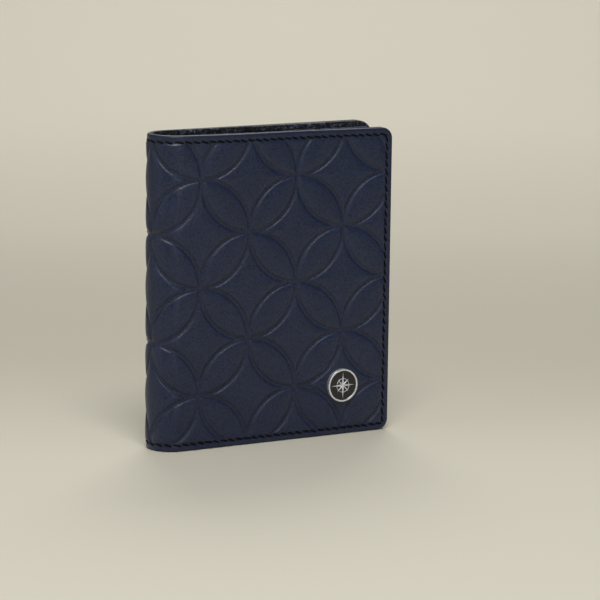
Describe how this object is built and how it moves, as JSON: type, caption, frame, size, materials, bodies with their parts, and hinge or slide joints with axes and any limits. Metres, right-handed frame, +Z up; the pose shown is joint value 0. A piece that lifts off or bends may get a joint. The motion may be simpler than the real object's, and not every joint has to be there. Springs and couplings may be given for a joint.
{
  "type": "passport holder",
  "caption": "Folding leather passport holder with a soft round spine, stiffened covers, a passport sleeve, card slots and a round metal medallion; it opens flat like a book.",
  "frame": {"origin": "under the middle of the whole, on the surface that the holder stands on", "axes": "+Z up, +X from the spine to the free edges, -Y out of the front cover"},
  "size_m": [0.1163, 0.026, 0.14],
  "materials": {
    "outer_leather": "semi-matte embossed navy leather",
    "pocket_leather": "smooth navy leather",
    "lining_fabric": "dark navy satin lining",
    "cover_board": "grey-brown fibre board",
    "thread": "waxed dark navy thread",
    "polished_metal": "polished",
    "black_enamel": "gloss enamel",
    "washer_steel": "plain"
  },
  "bodies": {
    "back_cover": {"back_leather": "outer_leather", "back_board": "cover_board", "back_lining": "lining_fabric", "back_seam_outside": "thread", "back_seam_inside": "thread", "document_pocket": "pocket_leather", "document_pocket_turned_edge": "pocket_leather", "passport_sleeve": "pocket_leather", "passport_sleeve_turned_edge": "pocket_leather", "back_pocket_stitching": "thread"},
    "spine_strip_1": {"spine_leather_1": "outer_leather", "spine_lining_1": "lining_fabric", "spine_seam_1": "thread"},
    "spine_strip_2": {"spine_leather_2": "outer_leather", "spine_lining_2": "lining_fabric", "spine_seam_2": "thread"},
    "spine_strip_3": {"spine_leather_3": "outer_leather", "spine_lining_3": "lining_fabric", "spine_seam_3": "thread"},
    "front_cover": {"front_leather": "outer_leather", "front_board": "cover_board", "front_lining": "lining_fabric", "front_seam_outside": "thread", "front_seam_inside": "thread", "slip_pocket": "pocket_leather", "slip_pocket_turned_edge": "pocket_leather", "card_slot_1": "pocket_leather", "card_slot_2": "pocket_leather", "card_slot_3": "pocket_leather", "card_slot_1_edges": "pocket_leather", "card_slot_2_edges": "pocket_leather", "card_slot_3_edges": "pocket_leather", "front_pocket_stitching": "thread", "medallion_disc": "polished_metal", "medallion_enamel": "black_enamel", "medallion_compass_rose": "polished_metal", "medallion_washer": "washer_steel"}
  },
  "joints": [
    {"name": "spine_fold_1", "type": "hinge", "parent": "back_cover", "child": "spine_strip_1", "pos_m": [-0.05126, 0.01099, 0.07], "axis": [0, 0, -1], "range_deg": [-1, 44.75]},
    {"name": "spine_fold_2", "type": "hinge", "parent": "spine_strip_1", "child": "spine_strip_2", "pos_m": [-0.05716, 0.00504, 0.07], "axis": [0, 0, -1], "range_deg": [-1, 44.75]},
    {"name": "spine_fold_3", "type": "hinge", "parent": "spine_strip_2", "child": "spine_strip_3", "pos_m": [-0.05716, -0.00333, 0.07], "axis": [0, 0, -1], "range_deg": [-1, 44.75]},
    {"name": "spine_fold_4", "type": "hinge", "parent": "spine_strip_3", "child": "front_cover", "pos_m": [-0.05126, -0.00928, 0.07], "axis": [0, 0, -1], "range_deg": [-1, 44.75]}
  ],
  "couplings": [
    {"joint": "spine_fold_2", "follows": "spine_fold_1", "ratio": 1},
    {"joint": "spine_fold_3", "follows": "spine_fold_1", "ratio": 1},
    {"joint": "spine_fold_4", "follows": "spine_fold_1", "ratio": 1}
  ]
}
